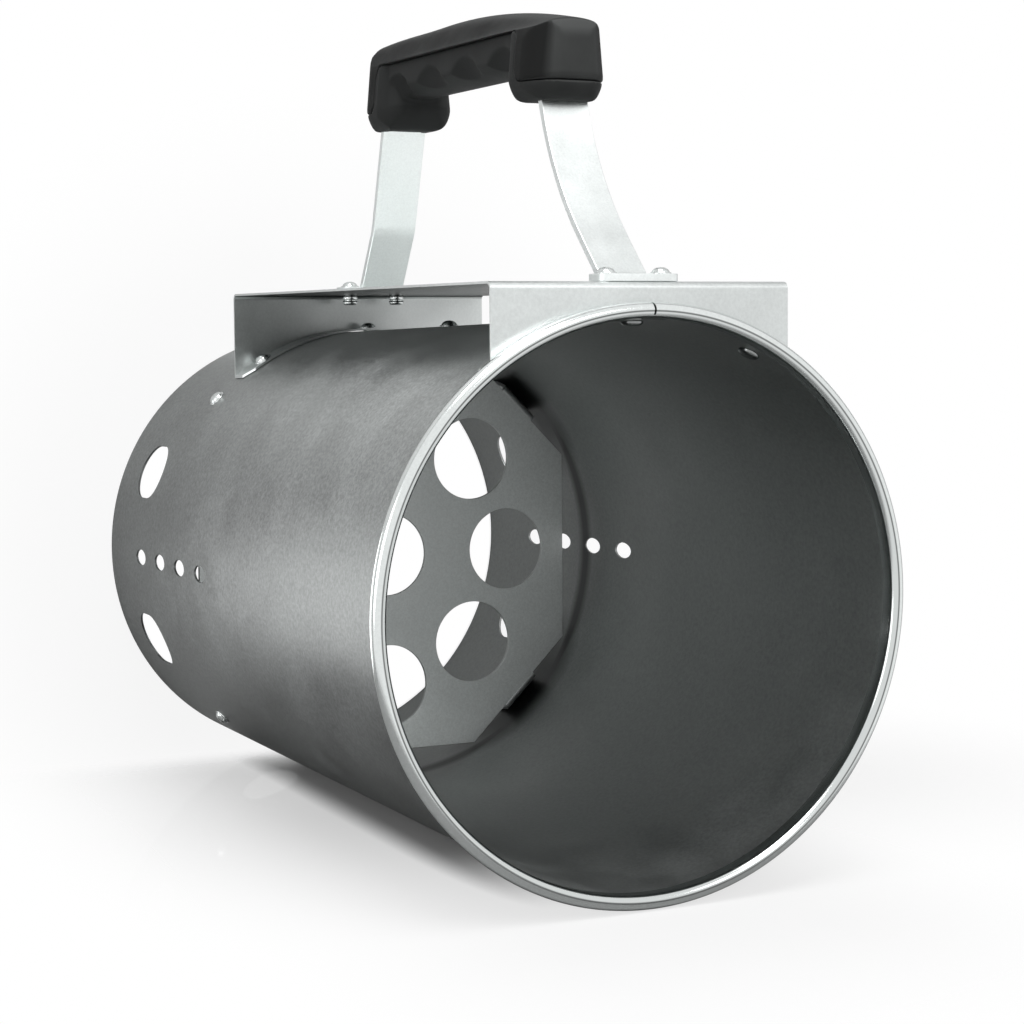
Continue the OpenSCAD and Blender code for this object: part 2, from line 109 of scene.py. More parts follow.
def smooth_with_sharp_edges(mesh, degrees):
    mesh.shade_smooth()
    mesh.set_sharp_from_angle(angle=math.radians(degrees))


def finished(piece, material, slot, *nodes):
    """Gives a piece its finish and body, and lets it stand for its nodes."""
    piece.data.materials.clear()
    piece.data.materials.append(material)
    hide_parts(*nodes)
    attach(piece, "root")


def merged_copy(node):
    """A copy of a node's mesh with its loose triangles joined and flat faces made whole."""
    mesh = frame["nodes"][node].data.copy()
    form = bmesh.new()
    form.from_mesh(mesh)
    bmesh.ops.remove_doubles(form, verts=form.verts, dist=0.002 * mm)
    bmesh.ops.dissolve_limit(form, angle_limit=math.radians(0.5), verts=form.verts, edges=form.edges)
    form.to_mesh(mesh)
    form.free()
    if "custom_normal" in mesh.attributes:
        mesh.attributes.remove(mesh.attributes["custom_normal"])
    return mesh


# Node helpers

class Nodes:
    """A node tree, and short calls that add nodes to it."""

    def __init__(self, tree):
        self.tree = tree

    def put(self, socket, value):
        """Links one socket or a list of them, or sets a value."""
        if isinstance(value, bpy.types.NodeSocket):
            value = [value]
        if isinstance(value, list):
            for part in value:
                self.tree.links.new(part, socket)
        else:
            socket.default_value = value

    def node(self, kind, properties=None, **values):
        made = self.tree.nodes.new(kind)
        for name, value in (properties or {}).items():
            setattr(made, name, value)
        for label, value in values.items():
            self.put(made.inputs[label.replace("_", " ")], value)
        return made

    def math(self, operation, first, second=0.0):
        made = self.node("ShaderNodeMath", {"operation": operation})
        self.put(made.inputs[0], first)
        self.put(made.inputs[1], second)
        return made.outputs[0]


# Finishes

# Tint of zinc and of the black plastic
COOL = (0.96, 1.0, 0.99)


def grey(level):
    return (level, level, level, 1)


def cool_grey(level):
    return (*(level * part for part in COOL), 1)


class Shading(Nodes):
    """Nodes of a shader."""

    def product(self, *shares):
        return reduce(lambda first, second: self.math("MULTIPLY", first, second), shares)

    def most(self, *shares):
        return reduce(lambda first, second: self.math("MAXIMUM", first, second), shares)

    def range(self, value, low, high, start=0.3, end=0.7, smooth=False):
        """From low to high, as a value goes from start to end."""
        return self.node(
            "ShaderNodeMapRange", {"interpolation_type": "SMOOTHSTEP" if smooth else "LINEAR"},
            Value=value, From_Min=start, From_Max=end, To_Min=low, To_Max=high,
        ).outputs[0]

    def band(self, value, middle, core, reach):
        """1 within core of a middle value, falling to 0 at reach from it."""
        off = self.math("ABSOLUTE", self.math("SUBTRACT", value, middle))
        return self.range(off, 1, 0, core, reach)

    def object_place(self):
        return self.tree.nodes.new("ShaderNodeTexCoord").outputs["Object"]

    def separate(self, vector):
        return self.node("ShaderNodeSeparateXYZ", Vector=vector).outputs

    def length(self, vector):
        return self.node("ShaderNodeVectorMath", {"operation": "LENGTH"}, Vector=vector).outputs["Value"]

    def surface(self, fact):
        return self.tree.nodes.new("ShaderNodeNewGeometry").outputs[fact]

    def seen_by(self, *rays):
        """1 for rays of these kinds."""
        path = self.tree.nodes.new("ShaderNodeLightPath")
        return self.most(*(path.outputs[f"Is {ray} Ray"] for ray in rays))

    def blend(self, share, first, second):
        """Shader that goes from the first to the second with a share."""
        made = self.tree.nodes.new("ShaderNodeMixShader")
        for socket, value in zip(made.inputs, (share, first, second)):
            self.put(socket, value)
        return made.outputs[0]


class Finish(Shading):
    """A material with one principled shader."""

    def __init__(self, name, **values):
        self.material = bpy.data.materials.new(name)
        self.material.use_nodes = True
        super().__init__(self.material.node_tree)
        self.shader = self.tree.nodes["Principled BSDF"]
        self.place = self.object_place()
        self.set(**values)

    def set(self, **values):
        for label, value in values.items():
            self.put(self.shader.inputs[label.replace("_", " ")], value)

    def noise(self, scale, detail=3, roughness=0.55):
        return self.node(
            "ShaderNodeTexNoise", Vector=self.place, Scale=scale, Detail=detail, Roughness=roughness
        ).outputs[0]

    def mix(self, share, first, second):
        """Colour that goes from the first to the second with a share."""
        made = self.node("ShaderNodeMix", {"data_type": "RGBA"})
        for socket, value in ((0, share), (6, first), (7, second)):
            self.put(made.inputs[socket], value)
        return made.outputs[2]

    def bump(self, height, depth):
        self.relief = self.node("ShaderNodeBump", Height=height, Strength=1.0, Distance=depth)
        self.set(Normal=self.relief.outputs[0])


class SheetFinish(Finish):
    """Zinc-coated sheet: fine grain, soft clouds in tone and gloss, slow waves from rolling."""

    def __init__(self, name, tones, roughness, grain, grain_depth, cloud, waves=0.0):
        super().__init__(name, Metallic=1.0)
        fine = self.noise(grain, detail=5, roughness=0.75)
        clouds = self.noise(cloud)
        self.tone = self.math("ADD", self.range(fine, 0, 0.7, 0.36, 0.64), self.range(clouds, 0, 0.3))
        self.colour = self.toned(tones)
        self.gloss = self.math(
            "ADD", self.range(clouds, roughness - 0.05, roughness + 0.05), self.range(fine, -0.05, 0.05)
        )
        self.set(Base_Color=self.colour, Roughness=self.gloss)
        surface = fine
        if waves:
            surface = self.math("ADD", fine, self.product(self.noise(16, detail=1), waves))
        self.bump(surface, grain_depth)

    def toned(self, tones):
        """Colour between a dark and a light tone, by the grain and the clouds."""
        dark, light = tones
        return self.mix(self.tone, cool_grey(dark), cool_grey(light))


def inside_wall(finish):
    """Separate coordinates, distance from the tube's axis, and 1 inside the middle of the tube's wall."""
    apart = finish.separate(finish.place)
    out = finish.length(finish.node("ShaderNodeCombineXYZ", X=apart["X"], Y=apart["Y"]).outputs[0])
    middle = finish.range(apart["Z"], BASE_R - WALL / 2, RIM_R - WALL / 2, 0, RIM_Z)
    inside = finish.range(finish.math("SUBTRACT", middle, out), 0, 1, -0.05 * mm, 0.05 * mm)
    return apart, out, inside


# Tones of the tube's sheet, dark and light, and of the painted light, shade, highlights and reflection on it
TUBE_OUTSIDE_TONES = (0.14, 0.315)
PAINTED_LIGHT_TONES = (0.38, 0.72)
PAINTED_CROWN_LIGHT_TONE = 0.95
LINING_TONES = (0.3, 0.44)
GRATE_SHADE_TONE = 0.05
# Painted highlight, painted shade and painted reflection on the rolled rim
PAINTED_BEAD_HIGHLIGHT_TONES = (0.74, 0.82)
PAINTED_BEAD_SHADE_TONE = 0.66
PAINTED_CREST_REFLECTION_TONE = 0.1
# Gloss and relief of the burnished rim, and where it and its painted highlight start
BURNISHED_ROUGHNESS = 0.14
BURNISHED_RELIEF = 0.03
RIM_GLOSS_AND_HIGHLIGHT_Z = (289.3 * mm, 289.9 * mm)
# Where light is painted on the tube under the bracket: from the sides to the crown, and from the rear wall
# forwards, with a painted bright strip along the crown
PAINTED_LIGHT_X = (20 * mm, 88 * mm)
PAINTED_LIGHT_Z = (50 * mm, 190 * mm)
PAINTED_LIGHT_REAR_SHARE = 0.25
PAINTED_CROWN_LIGHT_X = (74 * mm, 87 * mm)


def outside_colour_with_painted_light(finish, apart):
    """Outside of the tube, with painted light under the bracket that grows towards the crown and the rim, and
    a painted bright strip along the crown.
    """
    # Painted light: the outside is lighter under the bracket, more so towards the crown and the rim.
    painted_light_share = finish.product(
        finish.range(apart["X"], 0, 1, *PAINTED_LIGHT_X), finish.range(apart["Z"], PAINTED_LIGHT_REAR_SHARE, 1, *PAINTED_LIGHT_Z)
    )
    colour = finish.mix(painted_light_share, finish.colour, finish.toned(PAINTED_LIGHT_TONES))
    # Painted light: a bright strip along the crown, under the bracket's roof.
    crown = finish.product(painted_light_share, finish.range(apart["X"], 0, 1, *PAINTED_CROWN_LIGHT_X))
    return finish.mix(crown, colour, cool_grey(PAINTED_CROWN_LIGHT_TONE))


def lining_colour(finish, apart):
    """Inside of the tube, with painted shade in a ring at the grate, at its cut corners, and a little above
    it.
    """
    height = apart["Z"]
    ring = finish.band(height, GRATE_TOP + 2 * mm, 1.5 * mm, 8 * mm)
    crossed = finish.math("ABSOLUTE", finish.product(apart["X"], apart["Y"]))
    corner = finish.product(
        finish.range(crossed, 0, 1, 0.2 * RIM_R ** 2, 0.42 * RIM_R ** 2),
        finish.band(height, GRATE_TOP - 2 * mm, 6 * mm, 22 * mm),
    )
    above = finish.band(height, GRATE_TOP + 10 * mm, 6 * mm, 48 * mm)
    # Painted shade: darker in a ring at the grate, at its cut corners and a little above it.
    shade = finish.most(finish.product(ring, 0.88), finish.product(corner, 0.86), finish.product(above, 0.3))
    return finish.mix(shade, finish.toned(LINING_TONES), cool_grey(GRATE_SHADE_TONE))


def painted_bead_colour(finish, out):
    """Rolled rim with a painted highlight, painted shade on its inner part, and a painted dark reflection as a
    fine line along its crest.
    """
    # Painted shade on the bead's inner part.
    inner = finish.range(out, 1, 0, BEAD_CENTRE_R - 0.7 * mm, BEAD_CENTRE_R - 0.1 * mm)
    colour = finish.mix(inner, finish.toned(PAINTED_BEAD_HIGHLIGHT_TONES), cool_grey(PAINTED_BEAD_SHADE_TONE))
    # Painted reflection: a fine dark line along the crest.
    crest = finish.band(out, BEAD_CENTRE_R - 0.3 * mm, 0.12 * mm, 0.42 * mm)
    return finish.mix(finish.product(crest, 0.85), colour, cool_grey(PAINTED_CREST_REFLECTION_TONE))


def tube_sheet_finish():
    """Sheet of the tube, with its lining and its burnished rim, and with painted light, shade, highlights and
    reflection on them.
    """
    finish = SheetFinish(
        "galvanised tube sheet", TUBE_OUTSIDE_TONES, roughness=0.42, grain=750, grain_depth=0.02 * mm, cloud=40,
        waves=25.0,
    )
    apart, out, inside = inside_wall(finish)
    colour = finish.mix(inside, outside_colour_with_painted_light(finish, apart), lining_colour(finish, apart))
    # The rim's colour is a painted highlight; its gloss and relief are the sheet's own.
    rim_gloss_and_highlight = finish.range(apart["Z"], 0, 1, *RIM_GLOSS_AND_HIGHLIGHT_Z)
    finish.set(
        Base_Color=finish.mix(rim_gloss_and_highlight, colour, painted_bead_colour(finish, out)),
        Roughness=finish.mix(rim_gloss_and_highlight, finish.gloss, grey(BURNISHED_ROUGHNESS)),
    )
    finish.put(finish.relief.inputs["Strength"], finish.range(rim_gloss_and_highlight, 1, BURNISHED_RELIEF, 0, 1))
    return finish.material


def rivet_metal_finish():
    """Bright rivets with dull tails inside the tube."""
    finish = SheetFinish(
        "bright rivets", (0.66, 0.82), roughness=0.2, grain=2500, grain_depth=0.006 * mm, cloud=300
    )
    _, _, inside = inside_wall(finish)
    finish.set(Base_Color=finish.mix(inside, finish.colour, cool_grey(0.27)))
    return finish.material


def bracket_sheet_finish():
    """Sheet of the bracket, darkened by painted shade and smooth on the faces that look down at the tube."""
    finish = SheetFinish(
        "bracket sheet", (0.58, 0.68), roughness=0.37, grain=900, grain_depth=0.003 * mm, cloud=30, waves=50.0
    )
    # Painted shade: the faces that look down at the tube are darker, and also smoother.
    under = finish.range(finish.separate(finish.surface("True Normal"))["X"], 1, 0, -0.9, -0.6)
    finish.set(
        Base_Color=finish.mix(under, finish.colour, cool_grey(0.24)),
        Roughness=finish.mix(under, finish.gloss, grey(0.2)),
        Specular_Tint=finish.mix(under, grey(1), grey(0.2)),
    )
    return finish.material


def plastic_finish(name, level, painted_side_shade_level, roughness):
    """Black moulded plastic with a fine even grain, a painted highlight on its upper roundings and painted
    shade on its sides.
    """
    finish = Finish(name, Specular_IOR_Level=0.07)
    grain = finish.noise(2600, detail=2)
    wear = finish.noise(70, detail=4)
    facing = finish.separate(finish.surface("Normal"))
    colour = finish.mix(finish.range(wear, 0, 1), cool_grey(level * 0.85), cool_grey(level * 1.15))
    # Painted highlight on the upper roundings.
    painted_rounding_highlight = finish.band(facing["X"], 0.36, 0.16, 0.4)
    colour = finish.mix(painted_rounding_highlight, colour, cool_grey(level * 2.1))
    # Painted shade on the sides.
    colour = finish.mix(finish.band(facing["Y"], 0, 0.5, 0.75), cool_grey(painted_side_shade_level), colour)
    gloss = finish.math(
        "ADD", finish.range(wear, roughness - 0.05, roughness + 0.06), finish.range(grain, -0.03, 0.03)
    )
    finish.set(Base_Color=colour, Roughness=gloss)
    finish.bump(grain, 0.03 * mm)
    return finish.material


tube_finish = tube_sheet_finish()
grate_finish = SheetFinish(
    "grate sheet", (0.52, 0.7), roughness=0.5, grain=1100, grain_depth=0.02 * mm, cloud=50
).material
bracket_finish = bracket_sheet_finish()
strap_finish = SheetFinish(
    "zinc-plated strap", (0.76, 0.88), roughness=0.36, grain=1300, grain_depth=0.015 * mm, cloud=60
).material
rivet_finish = rivet_metal_finish()
grip_finish = plastic_finish("grip plastic", level=0.036, painted_side_shade_level=0.012, roughness=0.54)
finger_finish = plastic_finish("finger piece plastic", level=0.028, painted_side_shade_level=0.026, roughness=0.58)


# Node trees for what repeats

class Tree(Nodes):
    """A geometry node tree with named inputs."""

    def __init__(self, name, **inputs):
        super().__init__(bpy.data.node_groups.new(name, "GeometryNodeTree"))
        face = self.tree.interface
        face.new_socket("Geometry", in_out="INPUT", socket_type="NodeSocketGeometry")
        self.ids = {}
        self.values = {}
        for label, value in inputs.items():
            kind = {
                bpy.types.Material: "NodeSocketMaterial", bpy.types.Object: "NodeSocketObject",
                int: "NodeSocketInt", float: "NodeSocketFloat",
            }[type(value)]
            socket = face.new_socket(label.replace("_", " "), in_out="INPUT", socket_type=kind)
            self.ids[label] = socket.identifier
            self.values[label] = value
        face.new_socket("Geometry", in_out="OUTPUT", socket_type="NodeSocketGeometry")
        self.start = self.tree.nodes.new("NodeGroupInput")
        self.end = self.tree.nodes.new("NodeGroupOutput")

    def input(self, label):
        return self.start.outputs[label.replace("_", " ")]

    def xyz(self, x=0.0, y=0.0, z=0.0):
        return self.node("ShaderNodeCombineXYZ", X=x, Y=y, Z=z).outputs[0]

    def attribute(self, name, kind):
        return self.node("GeometryNodeInputNamedAttribute", {"data_type": kind}, Name=name).outputs[0]

    def ring(self, instance, count, height=0.0):
        """Copies of an instance turned about the tube's axis, the first by half a step."""
        points = self.node(
            "GeometryNodeMeshLine", Count=count, Start_Location=self.xyz(z=height), Offset=(0.0, 0.0, 0.0)
        ).outputs[0]
        index = self.node("GeometryNodeInputIndex").outputs[0]
        turn = self.math("MULTIPLY", self.math("ADD", index, 0.5), self.math("DIVIDE", 2 * math.pi, count))
        return self.node(
            "GeometryNodeInstanceOnPoints", Points=points, Instance=instance, Rotation=self.xyz(z=turn)
        ).outputs[0]

    def finish(self, geometry, material):
        """Ends the tree with real geometry in one material."""
        real = self.node("GeometryNodeRealizeInstances", Geometry=geometry).outputs[0]
        done = self.node("GeometryNodeSetMaterial", Geometry=real, Material=material).outputs[0]
        self.tree.links.new(done, self.end.inputs[0])

    def apply(self, piece):
        """Turns a piece's mesh into what the tree makes of it."""
        modifier = piece.modifiers.new(self.tree.name, "NODES")
        modifier.node_group = self.tree
        for label, identifier in self.ids.items():
            modifier[identifier] = self.values[label]
        evaluated_mesh(piece)


# Tube: one turned profile, then its vents, slots and seam gap

TUBE_TURNS = 288
TUBE_ROWS = 48
BEAD_ARCS = 30
# Bevel of the base edge, and how far below the bead the last row of the wall may lie
BASE_EDGE = 0.15 * mm
BEAD_MARGIN = 0.4 * mm
# The lap ends below the bead, and steps in over a small angle
LAP_TOP = RIM_Z - 5 * mm
LAP_STEP = 0.0015
# Size of the cutter for the gap in the bead, out from the wall and along the tube
GAP_DEPTH = 8 * mm
GAP_HEIGHT = 9 * mm


def tube_profile():
    """Outline of the sheet in radius and height: up the outside, over the bead, down the inside."""
    start = math.acos((RIM_R - BEAD_CENTRE_R) / BEAD_R)
    top = RIM_Z + BEAD_R * math.sin(-start) - BEAD_MARGIN
    heights = [BASE_EDGE + (RIM_Z - BASE_EDGE) * i / TUBE_ROWS for i in range(TUBE_ROWS)]
    outside = [(wall_r(z), z) for z in heights if z < top]
    bead = []
    for i in range(BEAD_ARCS + 1):
        angle = -start + (math.pi + start) * i / BEAD_ARCS
        bead.append((BEAD_CENTRE_R + BEAD_R * math.cos(angle), RIM_Z + BEAD_R * math.sin(angle)))
    inside = [(wall_r(z) - WALL, z) for _, z in reversed(outside)]
    foot = [(wall_r(0) - 0.6 * WALL, 0.0), (wall_r(0) - 0.35 * WALL, 0.0)]
    return outside, bead, inside, foot


def tube_mesh():
    """The profile turned round the axis, with the lap inside the wall on the handle's side."""
    outside, bead, inside, foot = tube_profile()
    profile = outside + bead + inside + foot
    inner = set(range(len(outside) + len(bead), len(outside) + len(bead) + len(inside)))
    lap = LAP_W / 2 / RIM_R
    turns = sorted(
        [2 * math.pi * (i + 0.5) / TUBE_TURNS - math.pi for i in range(TUBE_TURNS)]
        + [side * (lap + shift) for side in (-1, 1) for shift in (0.0, LAP_STEP)]
    )
    form = bmesh.new()
    rings = []
    for angle in turns:
        ring = []
        for i, (r, z) in enumerate(profile):
            if i in inner and abs(angle) < lap + 1e-6 and z < LAP_TOP:
                r -= WALL
            ring.append(form.verts.new((r * math.cos(angle), r * math.sin(angle), z)))
        rings.append(ring)
    count = len(profile)
    for k, ring in enumerate(rings):
        after = rings[(k + 1) % len(rings)]
        for i in range(count):
            j = (i + 1) % count
            form.faces.new((ring[i], after[i], after[j], ring[j]))
    bmesh.ops.recalc_face_normals(form, faces=form.faces)
    mesh = bpy.data.meshes.new("body_tube_sheet")
    form.to_mesh(mesh)
    form.free()
    return mesh


def perforation_tree():
    """Cuts a ring of vents, two rows of slots and the gap in the bead out of the tube."""
    tree = Tree(
        "perforated tube",
        Vent_count=8, Vent_width=22 * mm, Vent_length=28 * mm, Vent_height=37.5 * mm,
        Slot_count=4, Slot_width=6.3 * mm, Slot_length=12.4 * mm, Slot_height=42 * mm,
        Slot_pitch=24.8 * mm,
        Wall_radius=88.4 * mm, Cut_depth=16 * mm, Seam_gap=0.7 * mm, Seam_tilt=0.25,
        Finish=tube_finish,
    )

    def long_hole(width, length):
        outline = tree.node(
            "GeometryNodeCurvePrimitiveQuadrilateral", Width=tree.input(length), Height=tree.input(width)
        ).outputs[0]
        return tree.node(
            "GeometryNodeFilletCurve", {"mode": "POLY"}, Curve=outline, Count=16,
            Radius=tree.math("MULTIPLY", tree.input(width), 0.4999), Limit_Radius=True,
        ).outputs[0]

    def oval(width, length):
        outline = tree.node("GeometryNodeCurvePrimitiveCircle", Resolution=40, Radius=0.5).outputs[0]
        return tree.node(
            "GeometryNodeTransform", Geometry=outline,
            Scale=tree.xyz(x=tree.input(length), y=tree.input(width), z=1.0),
        ).outputs[0]

    def cutter(outline):
        """Punch that points away from the tube axis, at the wall."""
        path = tree.node(
            "GeometryNodeCurvePrimitiveLine",
            Start=tree.xyz(z=tree.math("MULTIPLY", tree.input("Cut_depth"), -0.5)),
            End=tree.xyz(z=tree.math("MULTIPLY", tree.input("Cut_depth"), 0.5)),
        ).outputs[0]
        punch = tree.node(
            "GeometryNodeCurveToMesh", Curve=path, Profile_Curve=outline, Fill_Caps=True
        ).outputs[0]
        return tree.node(
            "GeometryNodeTransform", Geometry=punch, Rotation=(0.0, math.pi / 2, 0.0),
            Translation=tree.xyz(x=tree.input("Wall_radius")),
        ).outputs[0]

    vent = cutter(long_hole("Vent_width", "Vent_length"))
    vents = tree.ring(vent, tree.input("Vent_count"), tree.input("Vent_height"))
    slot_points = tree.node(
        "GeometryNodeMeshLine", Count=tree.input("Slot_count"),
        Start_Location=tree.xyz(z=tree.input("Slot_height")), Offset=tree.xyz(z=tree.input("Slot_pitch")),
    ).outputs[0]
    slot = cutter(oval("Slot_width", "Slot_length"))
    rows = [
        tree.node(
            "GeometryNodeInstanceOnPoints", Points=slot_points, Instance=slot,
            Rotation=(0.0, 0.0, math.radians(turn)),
        ).outputs[0]
        for turn in (90, 270)
    ]
    gap = tree.node(
        "GeometryNodeMeshCube", Size=tree.xyz(x=GAP_DEPTH, y=tree.input("Seam_gap"), z=GAP_HEIGHT)
    ).outputs[0]
    gap = tree.node(
        "GeometryNodeTransform", Geometry=gap, Translation=(RIM_R + GAP_DEPTH / 2, 0.0, RIM_Z),
        Rotation=tree.xyz(x=tree.input("Seam_tilt")),
    ).outputs[0]
    punches = tree.node("GeometryNodeJoinGeometry", Geometry=[vents, *rows, gap]).outputs[0]
    punches = tree.node("GeometryNodeRealizeInstances", Geometry=punches).outputs[0]
    sheet = tree.node("GeometryNodeMeshBoolean", {"operation": "DIFFERENCE", "solver": "EXACT"})
    tree.put(sheet.inputs["Mesh 1"], tree.input("Geometry"))
    tree.put(sheet.inputs["Mesh 2"], punches)
    tree.finish(sheet.outputs[0], tree.input("Finish"))
    return tree


tube = link_piece("body_tube_sheet", tube_mesh())
perforation_tree().apply(tube)
smooth_with_sharp_edges(tube.data, degrees=35)
finished(tube, tube_finish, "tube_sheet", "body_tube")


# Rivets: one turned shape for each stack of sheets, set on points that know which way they face

# Outline of the head, as radius and height in millimetres
RIVET_HEAD = (
    (2.0, 0.0), (3.5, 0.0), (3.5, 0.25), (3.42, 0.4), (3.2, 0.46), (2.95, 0.52), (2.86, 0.75),
    (2.6, 1.2), (2.15, 1.62), (1.55, 1.93), (0.8, 2.13), (0.0, 2.2),
)
# Outlines of the two kinds of tail, as radius in millimetres and share of the tail's height
FLAT_TAIL = (
    (2.0, 0.0), (3.4, 0.0), (3.7, 0.08), (3.65, 0.4), (3.3, 0.68), (2.6, 0.88), (1.4, 0.98), (0.0, 1.0),
)
TALL_TAIL = (
    (2.0, 0.0), (2.8, 0.0), (2.9, 0.05), (2.9, 0.38), (2.75, 0.44), (2.35, 0.46), (2.35, 0.54), (2.75, 0.56),
    (2.9, 0.62), (2.9, 0.8), (2.6, 0.93), (1.8, 0.98), (0.0, 1.0),
)
FLAT_TAIL_H = 1.6 * mm
TALL_TAIL_H = 3.8 * mm
RIVET_TURNS = 28
# Seats of heads and tails, out from the tube's outer face or the top of the bracket's roof
WALL_INNER = -0.9 * mm
LAP_INNER = -1.7 * mm
TAB_INNER = -3.3 * mm
ROOF_INNER = -0.8 * mm
WALL_OUTER = 0.0
FLANGE_OUTER = 1.1 * mm


def rivet_form(name, inner, outer, tail, tail_h):
    """Rivet along z: domed head with a thin collar above outer, formed tail below inner."""
    profile = [(r * mm, inner - share * tail_h) for r, share in reversed(tail)]
    profile += [(r * mm, outer + z * mm) for r, z in RIVET_HEAD]
    (_, bottom), *sides, (_, top) = profile
    turns = [2 * math.pi * i / RIVET_TURNS for i in range(RIVET_TURNS)]
    form = bmesh.new()
    rings = [[form.verts.new((r * math.cos(a), r * math.sin(a), z)) for a in turns] for r, z in sides]
    for below, above in zip(rings, rings[1:]):
        for i in range(RIVET_TURNS):
            form.faces.new((below[i - 1], below[i], above[i], above[i - 1]))
    for ring, z, way in ((rings[0], bottom, -1), (rings[-1], top, 1)):
        tip = form.verts.new((0, 0, z))
        for i in range(RIVET_TURNS):
            form.faces.new((*(ring[i - 1], ring[i])[::way], tip))
    mesh = bpy.data.meshes.new(name)
    form.to_mesh(mesh)
    form.free()
    return mesh


def rivet_tree(shape):
    """Sets a rivet on every point, turned the way that the point faces."""
    tree = Tree("set rivets", Rivet=shape, Finish=rivet_finish)
    rivet = tree.node("GeometryNodeObjectInfo", Object=tree.input("Rivet")).outputs["Geometry"]
    facing = tree.attribute("facing", "FLOAT_VECTOR")
    turned = tree.node("FunctionNodeAlignRotationToVector", {"axis": "Z"}, Vector=facing).outputs[0]
    rivets = tree.node(
        "GeometryNodeInstanceOnPoints", Points=tree.input("Geometry"), Instance=rivet, Rotation=turned
    ).outputs[0]
    tree.finish(rivets, tree.input("Finish"))
    return tree


def on_wall(angle, z):
    """Point on the tube's outer face and the direction out of it."""
    out = Vector((math.cos(angle), math.sin(angle), -math.tan(WALL_LEAN))).normalized()
    return Vector((wall_r(z) * math.cos(angle), wall_r(z) * math.sin(angle), z)), out


def flange_places(z):
    """Places of a flange's two outer rivets."""
    return [on_wall(math.asin(y / wall_r(z)), z) for y in (-FLANGE_RIVET_Y, FLANGE_RIVET_Y)]


def foot_places():
    out = Vector((1, 0, 0))
    return [(Vector((ROOF_X, y, z)), out) for z in FOOT_RIVET_Z for y in (-FOOT_RIVET_Y, FOOT_RIVET_Y)]


def set_rivets(name, places, inner, outer, nodes, tail=FLAT_TAIL, tail_h=FLAT_TAIL_H):
    """Rivets at some places, through the sheets between inner and outer."""
    shape = bpy.data.objects.new(name + "_shape", rivet_form(name + "_shape", inner, outer, tail, tail_h))
    mesh = bpy.data.meshes.new(name)
    mesh.from_pydata([point for point, _ in places], [], [])
    facing = mesh.attributes.new("facing", "FLOAT_VECTOR", "POINT")
    for item, (_, out) in zip(facing.data, places):
        item.vector = out
    piece = link_piece(name, mesh)
    rivet_tree(shape).apply(piece)
    bpy.data.objects.remove(shape)
    smooth_with_sharp_edges(piece.data, degrees=50)
    finished(piece, rivet_finish, "rivet_steel", *nodes)


set_rivets(
    "grate_rivets", [on_wall(math.radians(a), GRATE_RIVET_Z) for a in (45, 135, 225, 315)],
    TAB_INNER, WALL_OUTER, ("grate_rivet_1", "grate_rivet_2", "grate_rivet_3", "grate_rivet_4"),
)
set_rivets(
    "flange_side_rivets", flange_places(REAR_FLANGE_Z) + flange_places(FRONT_FLANGE_Z),
    WALL_INNER, FLANGE_OUTER,
    ("rear_bracket_rivet_1", "rear_bracket_rivet_3", "front_bracket_rivet_1", "front_bracket_rivet_3"),
)
set_rivets(
    "flange_seam_rivets", [on_wall(0, z) for z in (REAR_FLANGE_Z, FRONT_FLANGE_Z)],
    LAP_INNER, FLANGE_OUTER, ("rear_bracket_rivet_2", "front_bracket_rivet_2"),
)
set_rivets(
    "seam_rivets", [on_wall(0, z) for z in SEAM_RIVET_Z],
    LAP_INNER, WALL_OUTER, ("seam_rivet_1", "seam_rivet_2"),
)
set_rivets(
    "foot_rivets", foot_places(), ROOF_INNER, STRAP_T,
    ("rear_foot_rivet_1", "rear_foot_rivet_2", "front_foot_rivet_1", "front_foot_rivet_2"),
    TALL_TAIL, TALL_TAIL_H,
)


# Bracket: the solid with joined faces and worn edges

# Edges that turn by more than this many degrees are rounded
WORN_ANGLE = 50


def round_edges(piece, width, clamp=False):
    """Rounds the sharp edges of a piece, as wear does."""
    bevel = piece.modifiers.new("worn edges", "BEVEL")
    bevel.width = width
    bevel.segments = 2
    bevel.limit_method = "ANGLE"
    bevel.angle_limit = math.radians(WORN_ANGLE)
    bevel.use_clamp_overlap = clamp
    evaluated_mesh(piece)
    smooth_with_sharp_edges(piece.data, degrees=20)


bracket = link_piece("handle_bracket_sheet", merged_copy("handle_bracket"))
round_edges(bracket, width=0.15 * mm, clamp=True)
finished(bracket, bracket_finish, "bracket_sheet", "handle_bracket")


# Bent strips: a ribbon laid along a bent path, then made thick

# Step along a strip, kept near its ends; elsewhere only some of the steps are
STRIP_STEP = 0.5 * mm
STRIP_END = 14 * mm
STRIP_KEPT = 4


def bent_line(path):
    """Points and left-hand directions along a path with round bends."""
    corners = [Vector((z, x)) * mm for z, x, _ in path]
    line = [(corners[0], (corners[1] - corners[0]).normalized())]
    for i in range(1, len(path) - 1):
        before = (corners[i] - corners[i - 1]).normalized()
        after = (corners[i + 1] - corners[i]).normalized()
        bend = before.angle_signed(after) * -1
        radius = path[i][2] * mm
        first = corners[i] - before * radius * math.tan(abs(bend) / 2)
        side = math.copysign(1, bend)
        centre = first + Vector((-before.y, before.x)) * radius * side
        steps = max(6, int(abs(math.degrees(bend)) / 3))
        for k in range(steps + 1):
            turn = Matrix.Rotation(bend * k / steps, 2)
            line.append((centre + turn @ (first - centre), turn @ before))
    line.append((corners[-1], (corners[-1] - corners[-2]).normalized()))
    return [(point, Vector((-along.y, along.x))) for point, along in line]


